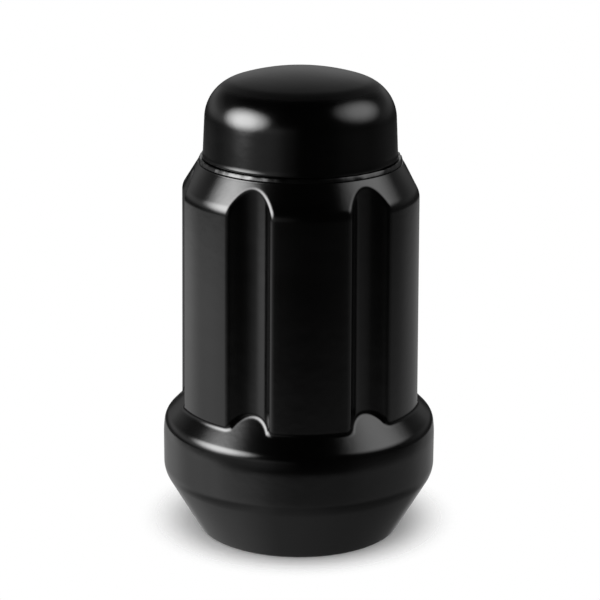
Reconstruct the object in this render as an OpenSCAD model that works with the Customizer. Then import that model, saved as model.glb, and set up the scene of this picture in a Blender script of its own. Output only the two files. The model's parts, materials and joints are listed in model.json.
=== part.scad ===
// Closed-end lug nut with a six-groove drive spline and a conical seat under a flange.
// The origin is the centre of the base ring, and +Z runs along the thread to the end cap.

/* [Drive spline] */
// Diameter over the lands between the grooves
spline_d = 20; // [18.6:0.1:24]
// Number of grooves round the body
groove_count = 6; // [4:1:8]
// Depth of a groove below the lands
groove_depth = 1.12; // [0.6:0.02:1.6]
// Radius of the round groove floor
groove_r = 2.75; // [2:0.05:3.2]
// Rounding of the edges between grooves and lands
groove_edge_r = 0.35; // [0.15:0.05:0.5]
// Half angle of the shoulder cone above the lands
shoulder_deg = 31; // [25:1:45]
// Rounding between the lands and the shoulder cone
shoulder_r = 1; // [0.3:0.1:2.4]

/* [Flange and seat] */
// How far the flange stands out past the lands
flange_overhang = 1.62; // [1.2:0.02:2.5]
// Height of the flange side between its two corners
flange_side_h = 4.35; // [3:0.05:6]
// Slope of the flange top, from level
flange_top_deg = 45; // [35:1:50]
// Rounding of the flange's upper corner
flange_top_r = 2.2; // [0.5:0.1:2.4]
// Hollow rounding at the foot of the lands
foot_r = 0.8; // [0.2:0.05:1]
// Height of the conical seat
seat_h = 5.2; // [4:0.1:7]
// Half angle of the conical seat
seat_deg = 30; // [25:1:32]
// Rounding between the seat and the flange side
seat_blend_r = 2.3; // [0.5:0.1:3]
// Rounding of the base ring's outer edge
base_edge_r = 0.25; // [0.1:0.05:0.5]

/* [Body and thread] */
// Height of the body, from its base to the weld seam under the cap
body_h = 32.4; // [26:0.1:44]
// Nominal diameter of the stud thread
thread_d = 12; // [10:1:12]
// Pitch of the stud thread
thread_pitch = 1.5; // [1.25:0.25:1.75]
// How far the countersunk mouth opens past the thread's nominal radius
mouth_clearance = 0.5; // [0.2:0.1:0.8]
// Chamfer at the upper end of the thread
top_chamfer = 0.8; // [0.3:0.1:1]

/* [End cap] */
// Diameter of the cap at its rim
cap_d = 16.28; // [15:0.02:16.8]
// Height of the cap over the weld seam
cap_h = 7.4; // [6:0.05:10]
// Wall of the cap
cap_wall = 1.2; // [0.8:0.1:1.4]
// Draft of the cap's side
cap_draft_deg = 2.8; // [0.5:0.1:4]
// Rounding between the cap's side and its crown
cap_corner_r = 3.4; // [2:0.1:5]
// Radius of the domed crown
cap_crown_r = 18; // [16:1:60]
// Rounding of the rim's outer edge
cap_rim_r = 0.3; // [0.1:0.05:0.4]
// How far the weld collar stands out past the cap's rim
collar_overhang = 0.16; // [0.1:0.02:0.4]
// Height of the weld collar
collar_h = 0.35; // [0.2:0.05:0.8]
// Width of the ledge round the collar
ledge_w = 0.25; // [0.1:0.05:0.5]

/* [Hidden] */
$fn = 128;
coat_color = "#1d1d20";
cut_margin = 1;          // how far a cutter runs past the face it opens
arc_bite = 0.005;        // arcs pass this far over the surface they blend into
corner_spread = 1.2;     // corner pieces reach this many times past their tangent points
minor_depth = 1.0825;    // pitches between the nominal and the minor diameter of a thread

spline_r = spline_d / 2;
groove_floor_r = spline_r - groove_depth;
groove_x = groove_floor_r + groove_r;
flange_r = spline_r + flange_overhang;
flange_top_z = seat_h + flange_side_h;
seat_base_r = flange_r - seat_h * tan(seat_deg);
bore_r = (thread_d - minor_depth * thread_pitch) / 2;
mouth_r = thread_d / 2 + mouth_clearance;
core_r = (bore_r + groove_floor_r) / 2;
cap_r = cap_d / 2;
collar_r = cap_r + collar_overhang;
ledge_r = collar_r + ledge_w;
ledge_z = body_h - collar_h;
shoulder_z = ledge_z - (spline_r - ledge_r) / tan(shoulder_deg);

// Height of the sloping flange top at radius r
function flange_top_at(r) = flange_top_z + (flange_r - r) * tan(flange_top_deg);

function unit(v) = v / norm(v);

// What an arc of radius r leaves over in the corner at p, whose sides run towards a and b.
// It is taken off an outer corner and added in an inner one. With a bite the arc crosses both sides.
module corner(p, a, b, r, bite = 0) {
  side_a = unit(a - p);
  side_b = unit(b - p);
  half = acos(side_a * side_b) / 2;
  reach = r / tan(half);
  centre = p + unit(side_a + side_b) * r / sin(half);
  touch = [centre, p + reach * side_a, p, p + reach * side_b];
  difference() {
    polygon([for (q = touch) centre + corner_spread * (q - centre)]);
    translate(centre) circle(r + bite);
  }
}

// Half section of the seat and flange, with a cone that runs on inside the body
module flange_section() {
  base = [seat_base_r, 0];
  low = [flange_r, seat_h];
  high = [flange_r, flange_top_z];
  tip = [core_r, flange_top_at(core_r)];
  difference() {
    polygon([[0, 0], base, low, high, tip, [0, tip.y]]);
    corner(base, [0, 0], low, base_edge_r);
    corner(low, base, high, seat_blend_r);
    corner(high, low, tip, flange_top_r);
  }
}

// Half section of the drive barrel, its shoulder and the weld collar
module barrel_section() {
  bottom = [spline_r, seat_h];
  foot = [spline_r, flange_top_at(spline_r) - arc_bite];
  flange_edge = [flange_r, flange_top_z - arc_bite];
  shoulder = [spline_r, shoulder_z];
  ledge = [ledge_r, ledge_z];
  difference() {
    polygon([[0, seat_h], bottom, shoulder, ledge, [collar_r, ledge_z], [collar_r, body_h], [0, body_h]]);
    corner(shoulder, bottom, ledge, shoulder_r, arc_bite);
  }
  corner(foot, shoulder, flange_edge, foot_r);
}

// Cross section of one groove cutter, with its two rounded edges
module groove_section() {
  from_axis = spline_r - groove_edge_r + arc_bite;
  from_groove = groove_r + groove_edge_r - arc_bite;
  swing = acos((from_axis ^ 2 + groove_x ^ 2 - from_groove ^ 2) / (2 * from_axis * groove_x));
  translate([groove_x, 0]) circle(groove_r);
  for (side = [-1, 1]) {
    direction = [cos(swing), side * sin(swing)];
    difference() {
      polygon([from_axis * direction, groove_x * direction, [groove_x, 0]]);
      translate(from_axis * direction) circle(groove_edge_r);
    }
  }
}

module grooves() {
  for (i = [0 : groove_count - 1])
    rotate(i * 360 / groove_count)
      translate([0, 0, seat_h - cut_margin])
        linear_extrude(body_h - seat_h + 2 * cut_margin) groove_section();
}

// Half section of the thread's bore, its countersunk mouth and its upper chamfer
module bore_section() {
  polygon([
    [0, -cut_margin],
    [mouth_r + cut_margin, -cut_margin],
    [bore_r, mouth_r - bore_r],
    [bore_r, body_h - top_chamfer],
    [bore_r + top_chamfer + cut_margin, body_h + cut_margin],
    [0, body_h + cut_margin]
  ]);
}

module nut_body() {
  color(coat_color)
    difference() {
      union() {
        difference() {
          rotate_extrude() barrel_section();
          grooves();
        }
        rotate_extrude() flange_section();
      }
      rotate_extrude() bore_section();
    }
}

// Half outline of the cup, set in from the cap's outside and run down below its rim
module cup_outline(inset, drop) {
  wall_up = [-sin(cap_draft_deg), cos(cap_draft_deg)];
  wall_in = [-cos(cap_draft_deg), -sin(cap_draft_deg)];
  rim = [cap_r, body_h];
  crown_centre = [0, body_h + cap_h - cap_crown_r];
  offset_rim = rim + cap_corner_r * wall_in - crown_centre;
  along = offset_rim * wall_up;
  lift = sqrt(along ^ 2 - offset_rim * offset_rim + (cap_crown_r - cap_corner_r) ^ 2) - along;
  bend_centre = rim + cap_corner_r * wall_in + lift * wall_up;
  bend_r = cap_corner_r - inset;
  to_crown = unit(bend_centre - crown_centre);
  half = acos(-wall_in * to_crown) / 2;
  bend_corner = bend_centre + unit(to_crown - wall_in) * bend_r / cos(half);
  wall_foot = rim + inset * wall_in - drop * wall_up;
  wall_top = wall_foot + (cap_h + drop) * wall_up;
  difference() {
    intersection() {
      translate(crown_centre) circle(cap_crown_r - inset);
      polygon([[0, wall_foot.y], wall_foot, wall_top, [0, wall_top.y]]);
    }
    corner(bend_corner, bend_centre - bend_r * wall_in, bend_centre + bend_r * to_crown, bend_r);
  }
}

module end_cap() {
  color(coat_color)
    rotate_extrude()
      difference() {
        cup_outline(0, 0);
        cup_outline(cap_wall, cut_margin);
        corner([cap_r, body_h], [0, body_h], [cap_r - tan(cap_draft_deg), body_h + 1], cap_rim_r);
      }
}

nut_body();
end_cap();
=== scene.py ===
"""A black coated spline-drive lug nut: dense skins, finishes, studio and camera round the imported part."""
import functools
import json
import math

import bpy
import bmesh
import numpy as np
from mathutils import Matrix, Vector


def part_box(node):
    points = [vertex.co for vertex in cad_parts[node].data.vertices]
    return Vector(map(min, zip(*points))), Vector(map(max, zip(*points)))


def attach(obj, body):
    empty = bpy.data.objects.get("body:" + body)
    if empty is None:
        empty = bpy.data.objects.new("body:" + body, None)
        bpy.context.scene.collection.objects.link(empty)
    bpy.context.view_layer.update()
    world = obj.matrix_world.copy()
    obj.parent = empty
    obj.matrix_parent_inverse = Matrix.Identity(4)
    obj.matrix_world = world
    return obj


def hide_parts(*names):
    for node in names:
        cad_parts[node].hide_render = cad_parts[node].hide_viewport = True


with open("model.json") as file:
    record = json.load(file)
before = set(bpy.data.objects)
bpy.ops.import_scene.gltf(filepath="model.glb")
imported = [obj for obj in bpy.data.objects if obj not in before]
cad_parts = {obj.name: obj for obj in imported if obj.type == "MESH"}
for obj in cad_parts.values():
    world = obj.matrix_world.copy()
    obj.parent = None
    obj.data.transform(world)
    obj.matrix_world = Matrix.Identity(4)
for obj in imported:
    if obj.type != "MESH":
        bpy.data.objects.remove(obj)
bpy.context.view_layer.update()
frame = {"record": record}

# Overall sizes in millimetres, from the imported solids
MM = 0.001
_, body_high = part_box("nut_body")
_, cap_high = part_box("end_cap")
mounts = {mount["name"]: mount for mount in frame["record"]["mounts"]}
BODY_H = body_high.z / MM
FLANGE_R = body_high.x / MM
CAP_TOP = cap_high.z / MM
BORE_R = mounts["stud_thread"]["dims"]["r_mm"]

# Other sizes in millimetres. Most are the solids' own, and the rest refine them by less than a millimetre.

# Drive spline
SPLINE_R = 10.0
SPLINE_DRAFT_DEG = 0.5
GROOVE_COUNT = 6
GROOVE_DEPTH = 1.12
GROOVE_R = 2.4
GROOVE_EDGE_R = 0.5
FOOT_R = 0.6
SHOULDER_DEG = 32.0
SHOULDER_R = 1.7

# Flange and seat
SEAT_H = 5.2
SEAT_DEG = 30.0
SEAT_BLEND_R = 2.3
BASE_EDGE_R = 0.25
FLANGE_BEND_Z = 8.65
FLANGE_BEND_R = 7.0
FLANGE_LEAN = 0.12  # how far the side bends in from there to its upper corner
FLANGE_TOP_Z = 9.8
FLANGE_TOP_DEG = 46.0
FLANGE_TOP_R = 1.3
CORE_R = 7.0  # where the flange's cone ends, inside the barrel

# Thread
THREAD_R = 6.0
THREAD_PITCH = 1.5
MOUTH_R = 6.5
TOP_CHAMFER = 0.9

# End cap, with a slight lip round its foot
CAP_R = 8.14
CAP_WALL = 1.2
CAP_DRAFT_DEG = 2.8
CAP_CORNER_R = 3.4
CAP_CROWN_R = 18.0
CAP_RIM_R = 0.1
LIP_OUT = 0.025
LIP_FACE = 0.2
LIP_H = 0.43
LIP_R = 1.5
LIP_EDGE_R = 0.3

# Weld flash between the ledge and the cap
LEDGE_R = 8.55
FLASH_H = 0.35
FLASH_DEG = 24.0
FLASH_RISE = 0.06  # how far it stands up past the seam
FLASH_R = 0.05
FLASH_EDGE_R = 0.03
FLASH_FOOT_IN = 0.04
FLASH_UNEVEN = 0.05
FLASH_WAVES = (5, 60)
LIGHTEST_WAVE = 0.3
FLASH_SEED = 7
NOTCH = 0.1
NOTCH_RISE = 0.01
CONE_BACK = (0.06, -0.1)  # a step back down the shoulder cone
SEAM_GAP = 0.03
SEAM_SINK = 0.01
UNDER_CAP_SINK = 0.02
UNDER_CAP_IN = 0.5
END_RING_IN = 0.7
SMOOTH_WITHIN = 0.15  # past the cap's rim, inside of which the flash is even

SECTOR = 2 * math.pi / GROOVE_COUNT
GROOVE_X = SPLINE_R - GROOVE_DEPTH + GROOVE_R
LAND_LEAN = math.tan(math.radians(SPLINE_DRAFT_DEG))
SEAT_BASE_R = FLANGE_R - SEAT_H * math.tan(math.radians(SEAT_DEG))
FLANGE_TOP_EDGE = FLANGE_R - FLANGE_LEAN
CORE_Z = FLANGE_TOP_Z + (FLANGE_TOP_EDGE - CORE_R) * math.tan(math.radians(FLANGE_TOP_DEG))
LEDGE_Z = BODY_H - FLASH_H
FLASH_FOOT_R = LEDGE_R - FLASH_FOOT_IN
SHOULDER_Z = LEDGE_Z - (SPLINE_R - LEDGE_R) / math.tan(math.radians(SHOULDER_DEG))


# Outlines
def rounded_path(corners, steps):
    """A polyline through (r, z, rounding) corners, each rounding drawn as an arc of that many steps."""
    points = [np.array(corners[0][:2])]
    for before, corner, after in zip(corners, corners[1:], corners[2:]):
        here, radius = np.array(corner[:2]), corner[2]
        if radius == 0:
            points.append(here)
            continue
        side_a = np.array(before[:2]) - here
        side_b = np.array(after[:2]) - here
        side_a /= np.linalg.norm(side_a)
        side_b /= np.linalg.norm(side_b)
        half = math.acos(np.clip(side_a @ side_b, -1, 1)) / 2
        middle = side_a + side_b
        middle /= np.linalg.norm(middle)
        centre = here + middle * radius / math.sin(half)
        start = here + side_a * radius / math.tan(half) - centre
        end = here + side_b * radius / math.tan(half) - centre
        turn = math.atan2(start[0] * end[1] - start[1] * end[0], start @ end)
        for a in np.linspace(0, turn, steps + 1):
            c, s = math.cos(a), math.sin(a)
            points.append(centre + np.array([c * start[0] - s * start[1], s * start[0] + c * start[1]]))
    points.append(np.array(corners[-1][:2]))
    return np.array(points)


FLANGE_CORNERS = [
    (SEAT_BASE_R - 1, 0, 0),
    (SEAT_BASE_R, 0, BASE_EDGE_R),
    (FLANGE_R, SEAT_H, SEAT_BLEND_R),
    (FLANGE_R, FLANGE_BEND_Z, FLANGE_BEND_R),
    (FLANGE_TOP_EDGE, FLANGE_TOP_Z, FLANGE_TOP_R),
    (CORE_R, CORE_Z, 0),
]
BARREL_CORNERS = [
    (SPLINE_R + (SHOULDER_Z - SEAT_H) * LAND_LEAN, SEAT_H, 0),
    (SPLINE_R, SHOULDER_Z, SHOULDER_R),
    (LEDGE_R, LEDGE_Z, 0),
]
PATH_STEPS = 64
flange_path = rounded_path(FLANGE_CORNERS, PATH_STEPS)[1:]
barrel_path = rounded_path(BARREL_CORNERS, PATH_STEPS)


def flange_rounding(corner, steps):
    """The points of the rounding at one of the flange's corners."""
    return rounded_path(FLANGE_CORNERS[corner - 1:corner + 2], steps)[1:-1]


base_edge = flange_rounding(1, steps=6)
seat_blend = flange_rounding(2, steps=12)
top_blend = flange_rounding(4, steps=18)

# The outside of the body
SLOPE_STEP = 0.01
FAR_OUT = 9.0
SEARCH_MARGIN = 0.5
HALVINGS = 40
LEAST_SPARE = 1e-6  # this and the next one keep divisors above zero
LEAST_SQUARE = 1e-12


def radius_and_slope(path, z):
    """Radius of a turned outline at height z, and the cosine of its slope from the axis."""
    r = np.interp(z, path[:, 1], path[:, 0])
    rise = (np.interp(z + SLOPE_STEP, path[:, 1], path[:, 0]) - r) / SLOPE_STEP
    return r, 1 / np.hypot(1, rise)


def rounded_edge(a, b, a_out, b_out, cosine, radius):
    """The larger of two distances with their meeting edge rounded, and how squarely it faces outwards.

    The cosine is the one between the surfaces' normals, whose parts along the radius are a_out and b_out."""
    p, q = a + radius, b + radius
    spare = np.maximum(1 - cosine ** 2, LEAST_SPARE)
    a_share, b_share = (p - cosine * q) / spare, (q - cosine * p) / spare
    square = (p ** 2 + q ** 2 - 2 * cosine * p * q) / spare
    length = np.sqrt(np.maximum(square, LEAST_SQUARE))
    on_edge = (a_share > 0) & (b_share > 0)
    distance = np.where(on_edge, length - radius, np.maximum(a, b))
    edge_out = (a_share * a_out + b_share * b_out) / length
    return distance, np.where(on_edge, edge_out, np.where(a > b, a_out, b_out))


def body_distance(r, theta, z):
    """Nearly the signed distance from the grooved barrel and flange, with theta from a groove's middle."""
    flange_r, flange_out = radius_and_slope(flange_path, z)
    barrel_r, barrel_out = radius_and_slope(barrel_path, z)
    flange = np.where(z > CORE_Z, FAR_OUT, (r - flange_r) * flange_out)
    barrel = np.where(z < SEAT_H, FAR_OUT, (r - barrel_r) * barrel_out)
    theta = (theta + SECTOR / 2) % SECTOR - SECTOR / 2
    groove_x = GROOVE_X + (SHOULDER_Z - z) * LAND_LEAN
    reach = np.hypot(r * np.cos(theta) - groove_x, r * np.sin(theta))
    groove_out = (groove_x * np.cos(theta) - r) / reach
    side, side_out = rounded_edge(
        barrel, GROOVE_R - reach, barrel_out, groove_out, barrel_out * groove_out, GROOVE_EDGE_R)
    joined, _ = rounded_edge(-side, -flange, side_out, flange_out, side_out * flange_out, FOOT_R)
    return -joined


def body_radius(theta, z):
    """Radius of the body's outside at angle theta from a groove's middle and height z, by halving."""
    low = np.full(np.broadcast(theta, z).shape, CORE_R)
    high = np.full_like(low, FLANGE_R + SEARCH_MARGIN)
    for _ in range(HALVINGS):
        middle = (low + high) / 2
        outside = body_distance(middle, theta, z) > 0
        high = np.where(outside, middle, high)
        low = np.where(outside, low, middle)
    return (low + high) / 2


# Meshes
SHARP_ANGLE = math.radians(40)
WELD_DISTANCE = 1e-4
SLIVER = 1e-5


def spread(*stretches):
    """Values along several (start, end, steps) stretches, without the last end."""
    return np.concatenate([np.linspace(a, b, n, endpoint=False) for a, b, n in stretches])


def around(r, theta, z):
    """Points at radius, angle and height, as one flat list."""
    r, theta, z = np.broadcast_arrays(r, theta, z)
    return np.stack([r * np.cos(theta), r * np.sin(theta), z], -1).reshape(-1, 3)


def grid_faces(first, rows, columns, closed=True):
    """Quads of a grid of vertices, rows outermost, whose columns go round."""
    i = np.arange(rows - 1)[:, None] * columns
    j = np.arange(columns if closed else columns - 1)[None, :]
    k = (j + 1) % columns
    quads = np.stack([i + j, i + k, i + columns + k, i + columns + j], -1)
    return (first + quads.reshape(-1, 4)).tolist()


def ring_faces(row, row_angles, far_row, far_angles):
    """Triangles from one closed row of vertices to another that is spaced differently round the axis."""
    faces = []
    i = j = 0
    while i < len(row) or j < len(far_row):
        if j == len(far_row) or (i < len(row) and row_angles[i + 1] <= far_angles[j + 1]):
            faces.append([row[i], row[(i + 1) % len(row)], far_row[j % len(far_row)]])
            i += 1
        else:
            faces.append([row[i % len(row)], far_row[(j + 1) % len(far_row)], far_row[j]])
            j += 1
    return faces


def make_piece(name, vertices_mm, faces, material):
    """A welded mesh object from vertices in millimetres, smooth but for its sharp edges."""
    mesh = bpy.data.meshes.new(name)
    mesh.from_pydata((np.asarray(vertices_mm) * MM).tolist(), [], faces)
    work = bmesh.new()
    work.from_mesh(mesh)
    bmesh.ops.remove_doubles(work, verts=work.verts, dist=WELD_DISTANCE * MM)
    bmesh.ops.dissolve_degenerate(work, edges=work.edges, dist=SLIVER * MM)
    for face in work.faces:
        face.smooth = True
    work.to_mesh(mesh)
    work.free()
    mesh.set_sharp_from_angle(angle=SHARP_ANGLE)
    mesh.materials.append(material)
    piece = bpy.data.objects.new(name, mesh)
    bpy.context.scene.collection.objects.link(piece)
    return piece


# The body's columns, closest together round the grooves and their edges
GROOVE_HALF = math.radians(8)
EDGE_END = math.radians(15)
sector_angles = spread(
    (-GROOVE_HALF, GROOVE_HALF, 28),
    (GROOVE_HALF, EDGE_END, 16),
    (EDGE_END, SECTOR - EDGE_END, 16),
    (SECTOR - EDGE_END, SECTOR - GROOVE_HALF, 16),
)
outer_angles = np.concatenate([sector_angles + n * SECTOR for n in range(GROOVE_COUNT)])
INNER_SHARE = 4  # outer columns to one column of the thread

# The body's rows, closest together where the outside bends, with gaps between their stretches
FOOT_END_Z = 12.8
ARCH_START_Z = 28.6
SEAT_GAP = 0.5
SIDE_GAP = 0.3
FOOT_GAP = 0.08
LEDGE_GAP = 0.12
outer_heights = np.concatenate([
    spread((base_edge[-1, 1] + SEAT_GAP, seat_blend[0, 1], 5)),
    seat_blend[:, 1],
    spread((seat_blend[-1, 1] + SIDE_GAP, top_blend[0, 1], 11)),
    top_blend[:, 1],
    spread(
        (top_blend[-1, 1] + FOOT_GAP, FOOT_END_Z, 32),
        (FOOT_END_Z, ARCH_START_Z, 10),
        (ARCH_START_Z, LEDGE_Z - LEDGE_GAP, 44),
    ),
])


def waves(theta, seed, lowest, highest):
    """A smooth uneven ring, about -1 to 1, with waves from lowest to highest in number."""
    draw = np.random.RandomState(seed)
    numbers = np.arange(lowest, highest + 1)
    phases = draw.uniform(0, 2 * math.pi, len(numbers))
    weights = draw.uniform(LIGHTEST_WAVE, 1, len(numbers)) / np.sqrt(len(numbers))
    return sum(w * np.cos(n * theta + p) for n, p, w in zip(numbers, phases, weights))


def flash_vertices():
    """The ledge, the notch over it, the uneven weld flash and the end ring under the cap."""
    flash_top = FLASH_FOOT_R - (FLASH_H + FLASH_RISE - NOTCH) * math.tan(math.radians(FLASH_DEG))
    path = rounded_path([
        (LEDGE_R + CONE_BACK[0], LEDGE_Z + CONE_BACK[1], 0),
        (LEDGE_R, LEDGE_Z, FLASH_EDGE_R),
        (LEDGE_R - NOTCH, LEDGE_Z + NOTCH_RISE, 0),
        (FLASH_FOOT_R, LEDGE_Z + NOTCH, FLASH_EDGE_R),
        (flash_top, BODY_H + FLASH_RISE, FLASH_R),
        (CAP_R + LIP_OUT + SEAM_GAP, BODY_H - SEAM_SINK, 0),
        (CAP_R - UNDER_CAP_IN, BODY_H - UNDER_CAP_SINK, 0),
        (CAP_R - END_RING_IN, BODY_H, 0),
    ], steps=5)[1:]
    r, z = path[:, :1], path[:, 1:]
    share = np.clip((z - LEDGE_Z) / FLASH_H, 0, 1) * (r > CAP_R + SMOOTH_WITHIN)
    uneven = FLASH_UNEVEN * share * waves(outer_angles, FLASH_SEED, *FLASH_WAVES)[None, :]
    return around(r + uneven, outer_angles[None, :], z)


# The thread's profile, in pitches from the middle of a crest
CREST_HALF = 1 / 8
FLANK = 5 / 16
STATIONS = np.array([-CREST_HALF, -1 / 12, 1 / 12, CREST_HALF, 0.28, 7 / 16, 0.47, 0.53, 9 / 16, 0.72])


def thread_vertices(angles):
    """The right-hand thread, its mouth and upper chamfer, in rows from the top that climb with the angle."""
    turns = math.ceil(BODY_H / THREAD_PITCH) + 2
    along = np.concatenate([STATIONS + n for n in range(turns)])
    from_crest = np.abs((along + 0.5) % 1 - 0.5)
    depth = np.clip((from_crest - CREST_HALF) / FLANK, 0, 1)
    wall_r = BORE_R + (THREAD_R - BORE_R) * depth
    climb = (angles - angles[0]) / (2 * math.pi)
    z = np.clip(BODY_H - THREAD_PITCH * (along[:, None] + CREST_HALF - climb[None, :]), 0, BODY_H)
    mouth_r = np.maximum(MOUTH_R - z, BORE_R + TOP_CHAMFER - (BODY_H - z))
    return around(np.maximum(wall_r[:, None], mouth_r), angles[None, :], z)


def body_vertices_and_faces():
    """The nut body as one closed skin: outside, weld flash, end ring, thread and base ring."""
    columns = len(outer_angles)
    edge = around(base_edge[:, :1], outer_angles[None, :], base_edge[:, 1:])
    sector_radii = body_radius(sector_angles[None, :], outer_heights[:, None])
    wall = around(np.tile(sector_radii, (1, GROOVE_COUNT)), outer_angles[None, :], outer_heights[:, None])
    outer = np.concatenate([edge, wall, flash_vertices()])
    outer_rows = len(outer) // columns

    inner_columns = columns // INNER_SHARE
    inner_angles = outer_angles[0] + 2 * math.pi * np.linspace(0, 1, inner_columns + 1)
    inner = thread_vertices(inner_angles)
    inner_rows = len(inner) // (inner_columns + 1)

    base_row = list(range(columns))
    top_row = [n + (outer_rows - 1) * columns for n in base_row]
    thread_top = list(range(len(outer), len(outer) + inner_columns))
    thread_base = [n + (inner_rows - 1) * (inner_columns + 1) for n in thread_top]
    closed_angles = np.append(outer_angles, inner_angles[-1])
    faces = grid_faces(0, outer_rows, columns)
    faces += grid_faces(len(outer), inner_rows, inner_columns + 1, closed=False)
    faces += ring_faces(top_row, closed_angles, thread_top, inner_angles)
    faces += ring_faces(thread_base, inner_angles, base_row, closed_angles)
    return np.concatenate([outer, inner]), faces


CAP_COLUMNS = 216
CAP_SIDE_ROWS = 8


def cap_path(inset, steps):
    """Half outline of the cap's outside, or of its hollow at a wall's depth, from its foot to the crown."""
    draft = math.radians(CAP_DRAFT_DEG)
    up = np.array([-math.sin(draft), math.cos(draft)])
    inward = np.array([-math.cos(draft), -math.sin(draft)])
    rim = np.array([CAP_R, BODY_H])
    crown_centre = np.array([0, CAP_TOP - CAP_CROWN_R])
    start = rim + CAP_CORNER_R * inward - crown_centre
    along = start @ up
    lift = math.sqrt(along ** 2 - start @ start + (CAP_CROWN_R - CAP_CORNER_R) ** 2) - along
    bend_centre = rim + CAP_CORNER_R * inward + lift * up
    crown_at = math.atan2(bend_centre[1] - crown_centre[1], bend_centre[0] - crown_centre[0])
    bend = np.linspace(draft, crown_at, steps)
    crown = np.linspace(crown_at, math.pi / 2, steps)[1:]
    bend_r, crown_r = CAP_CORNER_R - inset, CAP_CROWN_R - inset
    foot = rim + inset * inward
    foot += up * (BODY_H - foot[1]) / up[1]
    return np.concatenate([
        [foot],
        bend_centre + bend_r * np.stack([np.cos(bend), np.sin(bend)], -1),
        crown_centre + crown_r * np.stack([np.cos(crown), np.sin(crown)], -1),
    ])


def cap_vertices_and_faces():
    """The end cap as one closed skin: hollow, rim, lip and outside."""
    theta = np.linspace(0, 2 * math.pi, CAP_COLUMNS, endpoint=False)
    outside = cap_path(0, steps=24)
    hollow = cap_path(CAP_WALL, steps=14)
    rim = rounded_path([
        (hollow[0, 0], BODY_H, 0),
        (CAP_R + LIP_OUT, BODY_H, CAP_RIM_R),
        (CAP_R + LIP_OUT, BODY_H + LIP_FACE, LIP_EDGE_R),
        (CAP_R - LIP_H * math.tan(math.radians(CAP_DRAFT_DEG)), BODY_H + LIP_H, LIP_R),
        (outside[1, 0], outside[1, 1], 0),
    ], steps=10)
    side = np.linspace(rim[-2], outside[1], CAP_SIDE_ROWS)[1:-1]
    path = np.concatenate([hollow[::-1], rim[1:-1], side, outside[1:]])
    path[0, 0] = path[-1, 0] = 0
    return around(path[:, :1], theta[None, :], path[:, 1:]), grid_faces(0, len(path), CAP_COLUMNS)


# Finishes
class Nodes:
    """Short forms for adding linked nodes to one node tree."""

    def __init__(self, tree):
        self.tree = tree

    def add(self, kind, settings=None, **inputs):
        """A node with its settings and inputs, where an input is a value or another node's output."""
        node = self.tree.nodes.new(kind)
        for name, value in (settings or {}).items():
            setattr(node, name, value)
        for name, value in inputs.items():
            self.put(node.inputs[name.replace("_", " ")], value)
        return node

    def put(self, socket, value):
        """A value or another node's output, set on a socket."""
        if isinstance(value, bpy.types.NodeSocket):
            self.tree.links.new(value, socket)
        else:
            socket.default_value = value

    def math(self, operation, a, b):
        """One operation on two values."""
        node = self.add("ShaderNodeMath", {"operation": operation})
        self.put(node.inputs[0], a)
        self.put(node.inputs[1], b)
        return node.outputs[0]

    def chain(self, operation, values):
        """One operation on several values in turn."""
        return functools.reduce(lambda a, b: self.math(operation, a, b), values)

    def vector_value(self, operation, vector, other=None):
        """A number worked out from a vector and, where there is one, a fixed second vector."""
        node = self.add("ShaderNodeVectorMath", {"operation": operation})
        self.put(node.inputs[0], vector)
        if other is not None:
            node.inputs[1].default_value = other
        return node.outputs["Value"]

    def between(self, value, start, end, **settings):
        """How far a value has come from start to end, from 0 to 1."""
        node = self.add("ShaderNodeMapRange", settings, Value=value, From_Min=start, From_Max=end)
        return node.outputs[0]

    def noise(self, place, scale, detail):
        """A fractal noise level at a place."""
        return self.add("ShaderNodeTexNoise", Vector=place, Scale=scale, Detail=detail).outputs["Fac"]

    def ramp(self, value, stops):
        """A grey level read from (place, level) stops along a value."""
        first, last = stops[0][0], stops[-1][0]
        node = self.add("ShaderNodeValToRGB", Fac=self.between(value, first, last))
        elements = node.color_ramp.elements
        while len(elements) < len(stops):
            elements.new(0.5)
        for element, (at, level) in zip(elements, stops):
            element.position = (at - first) / (last - first)
            element.color = (level, level, level, 1)
        return node.outputs[0]


COAT_IOR = 1.6
COAT_SHADES = [(0.3, 0.0002), (0.7, 0.0006)]
SHADE_SCALE = 420.0
GLOSS_RANGE = (0.14, 0.17)
SMEAR_STRETCH = (160, 160, 700)
SMEAR_RANGE = (0.3, 0.7)
THREAD_DULLNESS = 0.2
THREAD_FADE = (THREAD_R + 0.9, THREAD_R + 0.4)
SEAM_DULLNESS = 0.05
SEAM_BAND = [(LEDGE_Z - 0.08, 0), (LEDGE_Z + 0.02, 1), (BODY_H - 0.02, 1), (BODY_H + 0.04, 0)]
PEEL_SCALE = 1100.0
PEEL_HEIGHT = 6e-6
GRAIN_SCALE = 2600.0
GRAIN_HEIGHT = 1.2e-5


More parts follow.
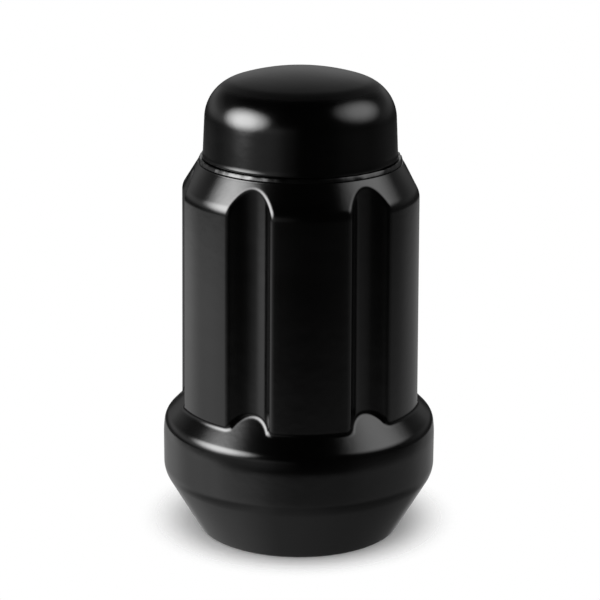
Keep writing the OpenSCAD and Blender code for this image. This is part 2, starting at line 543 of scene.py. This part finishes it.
def coat_material(name):
    """Black coat over steel: orange peel, faint smears in the gloss, a dull thread and weld flash."""
    material = bpy.data.materials.new(name)
    material.use_nodes = True
    nodes = Nodes(material.node_tree)
    shader = material.node_tree.nodes["Principled BSDF"]
    shader.inputs["IOR"].default_value = COAT_IOR
    place = nodes.add("ShaderNodeTexCoord").outputs["Object"]

    outwards = nodes.add("ShaderNodeVectorMath", {"operation": "MULTIPLY"})
    nodes.put(outwards.inputs[0], place)
    outwards.inputs[1].default_value = (1, 1, 0)
    radius = nodes.vector_value("LENGTH", outwards.outputs[0])
    inside = nodes.between(radius, THREAD_FADE[0] * MM, THREAD_FADE[1] * MM)
    height = nodes.vector_value("DOT_PRODUCT", place, (0, 0, 1))
    seam = nodes.ramp(height, [(z * MM, level) for z, level in SEAM_BAND])

    shade = nodes.noise(place, SHADE_SCALE, detail=3.0)
    nodes.put(shader.inputs["Base Color"], nodes.ramp(shade, COAT_SHADES))

    stretched = nodes.add("ShaderNodeMapping", Vector=place, Scale=SMEAR_STRETCH).outputs[0]
    gloss = nodes.add(
        "ShaderNodeMapRange", Value=nodes.noise(stretched, 1.0, detail=4.0),
        From_Min=SMEAR_RANGE[0], From_Max=SMEAR_RANGE[1],
        To_Min=GLOSS_RANGE[0], To_Max=GLOSS_RANGE[1]).outputs[0]
    thread_part = nodes.math("MULTIPLY", inside, THREAD_DULLNESS)
    seam_part = nodes.math("MULTIPLY", seam, SEAM_DULLNESS)
    nodes.put(shader.inputs["Roughness"], nodes.chain("ADD", [gloss, thread_part, seam_part]))

    peel = nodes.noise(place, PEEL_SCALE, detail=2.0)
    fine = nodes.add("ShaderNodeBump", Strength=1.0, Distance=PEEL_HEIGHT, Height=peel).outputs[0]
    grain = nodes.math("MULTIPLY", nodes.noise(place, GRAIN_SCALE, detail=3.0), seam)
    rough = nodes.add("ShaderNodeBump", Strength=1.0, Distance=GRAIN_HEIGHT, Height=grain, Normal=fine)
    nodes.put(shader.inputs["Normal"], rough.outputs[0])
    return material


coat = coat_material("black_coat")
body = make_piece("nut_body_skin", *body_vertices_and_faces(), coat)
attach(body, "root")
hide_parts("nut_body")
cap = make_piece("end_cap_skin", *cap_vertices_and_faces(), coat)
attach(cap, "root")
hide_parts("end_cap")

# Camera, with the photograph's perspective, in millimetres from the middle of the nut's base
IMAGE_SIDE = 600
FOCAL_PIXELS = 2273.7
SENSOR_WIDTH = 36
CAMERA_AZIMUTH = math.radians(-5.6)
CAMERA_BACK = 184.6
CAMERA_UP = 75.2
CAMERA_PITCH = math.radians(16.675)
CAMERA_ROLL = math.radians(0.3)
CAMERA_TURN = math.radians(-0.01)
CLIP_START = 10


def studio_point(x, y, z):
    """A place in metres, from millimetres to the right, away from the camera and up."""
    c, s = math.cos(CAMERA_AZIMUTH), math.sin(CAMERA_AZIMUTH)
    return Vector((c * x - s * y, s * x + c * y, z)) * MM


camera_data = bpy.data.cameras.new("camera")
camera_data.sensor_width = SENSOR_WIDTH
camera_data.lens = SENSOR_WIDTH * FOCAL_PIXELS / IMAGE_SIDE
camera_data.clip_start = CLIP_START * MM
camera = bpy.data.objects.new("camera", camera_data)
camera.location = studio_point(0, -CAMERA_BACK, CAMERA_UP)
camera.rotation_euler = (
    Matrix.Rotation(CAMERA_AZIMUTH + CAMERA_TURN, 3, "Z")
    @ Matrix.Rotation(math.pi / 2 - CAMERA_PITCH, 3, "X")
    @ Matrix.Rotation(CAMERA_ROLL, 3, "Z")
).to_euler()
bpy.context.scene.collection.objects.link(camera)
bpy.context.scene.camera = camera

# Lamps
LAMP_TARGET_Z = 25
LAMP_HALF = 0.5  # half the width of a lamp in its own coordinates
LAMP_CORE = 0.12  # the share of that half width that is at full strength
ENERGY_PER_AREA = 4  # for a radiance of 1


def soft_box(name, bearing_deg, rise_deg, distance, width, height, lean_deg, radiance):
    """An oval lamp that faces the nut from a bearing and a rise over it, brightest in its middle."""
    lamp = bpy.data.lights.new(name, "AREA")
    lamp.shape = "RECTANGLE"
    lamp.size = width * MM
    lamp.size_y = height * MM
    lamp.energy = ENERGY_PER_AREA * lamp.size * lamp.size_y * radiance
    lamp.use_nodes = True
    nodes = Nodes(lamp.node_tree)
    place = nodes.add("ShaderNodeNewGeometry").outputs["Parametric"]
    from_middle = nodes.vector_value("DISTANCE", place, (LAMP_HALF, LAMP_HALF, 0))
    level = nodes.between(from_middle, LAMP_HALF, LAMP_HALF * LAMP_CORE, interpolation_type="SMOOTHSTEP")
    nodes.put(lamp.node_tree.nodes["Emission"].inputs["Strength"], level)

    bearing, rise = math.radians(bearing_deg), math.radians(rise_deg)
    flat = distance * math.cos(rise)
    up = LAMP_TARGET_Z + distance * math.sin(rise)
    box = bpy.data.objects.new(name, lamp)
    box.location = studio_point(flat * math.sin(bearing), -flat * math.cos(bearing), up)
    aim = box.location - studio_point(0, 0, LAMP_TARGET_Z)
    facing = aim.to_track_quat("Z", "Y").to_matrix() @ Matrix.Rotation(math.radians(lean_deg), 3, "Z")
    box.rotation_euler = facing.to_euler()
    box.visible_diffuse = False
    bpy.context.scene.collection.objects.link(box)


soft_box(
    "left_box", bearing_deg=-71, rise_deg=23, distance=125,
    width=171, height=135, lean_deg=2, radiance=9.2)
soft_box(
    "right_box", bearing_deg=87, rise_deg=37, distance=160,
    width=216, height=172, lean_deg=-12, radiance=1.6)

# Floor
FLOOR_R = 16
FLOOR_SIDES = 96
FLOOR_CENTRE = (0, 1.2)
FLOOR_GAP = 0.02  # keeps the floor from coinciding with the base ring
FLOOR_COLOR = (0.92, 0.92, 0.92, 1)
FLOOR_ROUGHNESS = 0.9
FADE_START = 9
FADE_END = 14.2


def floor_material():
    """A pale floor that fades out round the nut, and that a view from below looks through."""
    material = bpy.data.materials.new("pale_floor")
    material.use_nodes = True
    nodes = Nodes(material.node_tree)
    shader = material.node_tree.nodes["Principled BSDF"]
    shader.inputs["Base Color"].default_value = FLOOR_COLOR
    shader.inputs["Roughness"].default_value = FLOOR_ROUGHNESS
    shader.inputs["Specular IOR Level"].default_value = 0
    distance = nodes.vector_value("LENGTH", nodes.add("ShaderNodeTexCoord").outputs["Object"])
    solid = nodes.between(distance, FADE_END * MM, FADE_START * MM, interpolation_type="SMOOTHSTEP")
    back = nodes.add("ShaderNodeNewGeometry").outputs["Backfacing"]
    nodes.put(shader.inputs["Alpha"], nodes.math("MULTIPLY", solid, nodes.math("SUBTRACT", 1, back)))
    return material


floor_mesh = bpy.data.meshes.new("floor")
ring = np.linspace(0, 2 * math.pi, FLOOR_SIDES, endpoint=False)
floor_mesh.from_pydata((around(FLOOR_R, ring, 0) * MM).tolist(), [], [list(range(FLOOR_SIDES))])
floor_mesh.materials.append(floor_material())
floor = bpy.data.objects.new("floor", floor_mesh)
floor.location = studio_point(*FLOOR_CENTRE, -FLOOR_GAP)
floor.visible_glossy = False
bpy.context.scene.collection.objects.link(floor)

# The room that the coat mirrors, as patches of light. A patch is a product of (axis, stops) ramps.
# A stop is the cosine of the angle from the axis and the level there.
ROOM_AXES = {
    "height": (0, 0, 1),
    "depth": (0, 1, 0),
    "side": (1, 0, 0),
    "left": (-1, -0.1, 0),
    "front_left": (-0.8, -0.6, 0),
}
FAR_FLOOR_HEIGHT = ("height", [
    (-1, 0), (-0.6, 0), (-0.45, 0.55), (-0.36, 0.6), (-0.28, 1), (-0.25, 0.9), (-0.22, 0.32), (-0.19, 0.08),
    (-0.12, 0.07), (-0.05, 0.12), (0.03, 0.35), (0.15, 0.45), (0.3, 0.2), (0.45, 0.02), (1, 0.02)])
FAR_FLOOR_DEPTH = ("depth", [(-1, 0.02), (-0.8, 0.1), (-0.55, 0.35), (-0.25, 0.95), (0, 1), (1, 1)])
MIRROR_ROOM = {
    "floor to the left": [
        ("left", [
            (-1, 0), (0.05, 0.01), (0.396, 0.12), (0.683, 0.52), (0.858, 0.58), (0.957, 0.82), (1, 0.95)]),
        FAR_FLOOR_HEIGHT,
        FAR_FLOOR_DEPTH,
    ],
    "floor behind": [
        ("depth", [(-1, 0), (0.25, 0.02), (0.38, 0.06), (0.62, 0.19), (0.81, 0.28), (1, 0.28)]),
        FAR_FLOOR_HEIGHT,
        FAR_FLOOR_DEPTH,
    ],
    "floor in front": [
        ("height", [
            (-1, 0), (-0.55, 0), (-0.45, 0.1), (-0.38, 0.17), (-0.35, 0.13), (-0.325, 0.065), (-0.3, 0.02),
            (-0.28, 0.007), (-0.2, 0.005), (1, 0.001)]),
        ("front_left", [(-1, 1), (0.6, 1.1), (0.8, 1.6), (0.9, 3), (0.945, 3.5), (1, 3.5)]),
    ],
    "floor close to the nut": [
        ("height", [(-1, 0.23), (-0.6, 0.21), (-0.5, 0.19), (-0.42, 0.1), (-0.36, 0), (1, 0)]),
        ("side", [
            (-1, 1.1), (-0.8, 1.2), (-0.45, 1.6), (-0.2, 0.95), (0, 0.88), (0.2, 0.75), (0.5, 0.5),
            (1, 0.45)]),
    ],
    "glow from the front left": [
        ("height", [
            (-1, 0), (-0.24, 0), (-0.15, 0.24), (0, 0.3), (0.15, 0.3), (0.3, 0.1), (0.45, 0), (1, 0)]),
        ("front_left", [(-1, 0), (0.6, 0), (0.8, 0.3), (0.95, 1), (1, 1)]),
    ],
    "backdrop": [
        ("side", [
            (-1, 0.1), (-0.6, 0.1), (-0.21, 0.2), (-0.12, 1), (0.12, 1), (0.21, 0.2), (0.6, 0.1),
            (1, 0.1)]),
        ("height", [
            (-1, 0), (-0.1, 0), (0.05, 0.28), (0.15, 0.43), (0.28, 0.44), (0.42, 0.41), (0.55, 0.32),
            (0.64, 0.22), (0.72, 0.05), (0.8, 0.015), (1, 0.01)]),
        ("depth", [(-1, 0), (0, 0), (0.3, 1), (1, 1)]),
    ],
    "right side": [
        ("side", [(-1, 0), (0.2, 0), (0.6, 0.02), (0.8, 0.09), (0.95, 0.11), (1, 0.09)]),
        ("height", [(-1, 0), (-0.45, 0), (-0.36, 0.8), (-0.28, 1), (-0.2, 0.4), (0, 0.25), (1, 0.25)]),
    ],
}
AMBIENT = 0.95


def studio_world():
    """White to look at, an even light on dull surfaces, and in mirrors a dark room with pale patches."""
    world = bpy.data.worlds.new("studio")
    world.use_nodes = True
    nodes = Nodes(world.node_tree)
    background = world.node_tree.nodes["Background"]
    background.inputs["Color"].default_value = (1, 1, 1, 1)
    direction = nodes.add("ShaderNodeTexCoord").outputs["Generated"]
    axes = {
        name: nodes.vector_value("DOT_PRODUCT", direction, studio_point(*axis).normalized())
        for name, axis in ROOM_AXES.items()
    }
    patches = [
        nodes.chain("MULTIPLY", [nodes.ramp(axes[name], stops) for name, stops in ramps])
        for ramps in MIRROR_ROOM.values()
    ]
    ray = nodes.add("ShaderNodeLightPath").outputs
    level = nodes.chain("ADD", [
        ray["Is Camera Ray"],
        ray["Is Transmission Ray"],
        nodes.math("MULTIPLY", ray["Is Glossy Ray"], nodes.chain("ADD", patches)),
        nodes.math("MULTIPLY", ray["Is Diffuse Ray"], AMBIENT),
    ])
    nodes.put(background.inputs["Strength"], level)
    return world


bpy.context.scene.world = studio_world()

bpy.context.scene.view_settings.view_transform = "Standard"
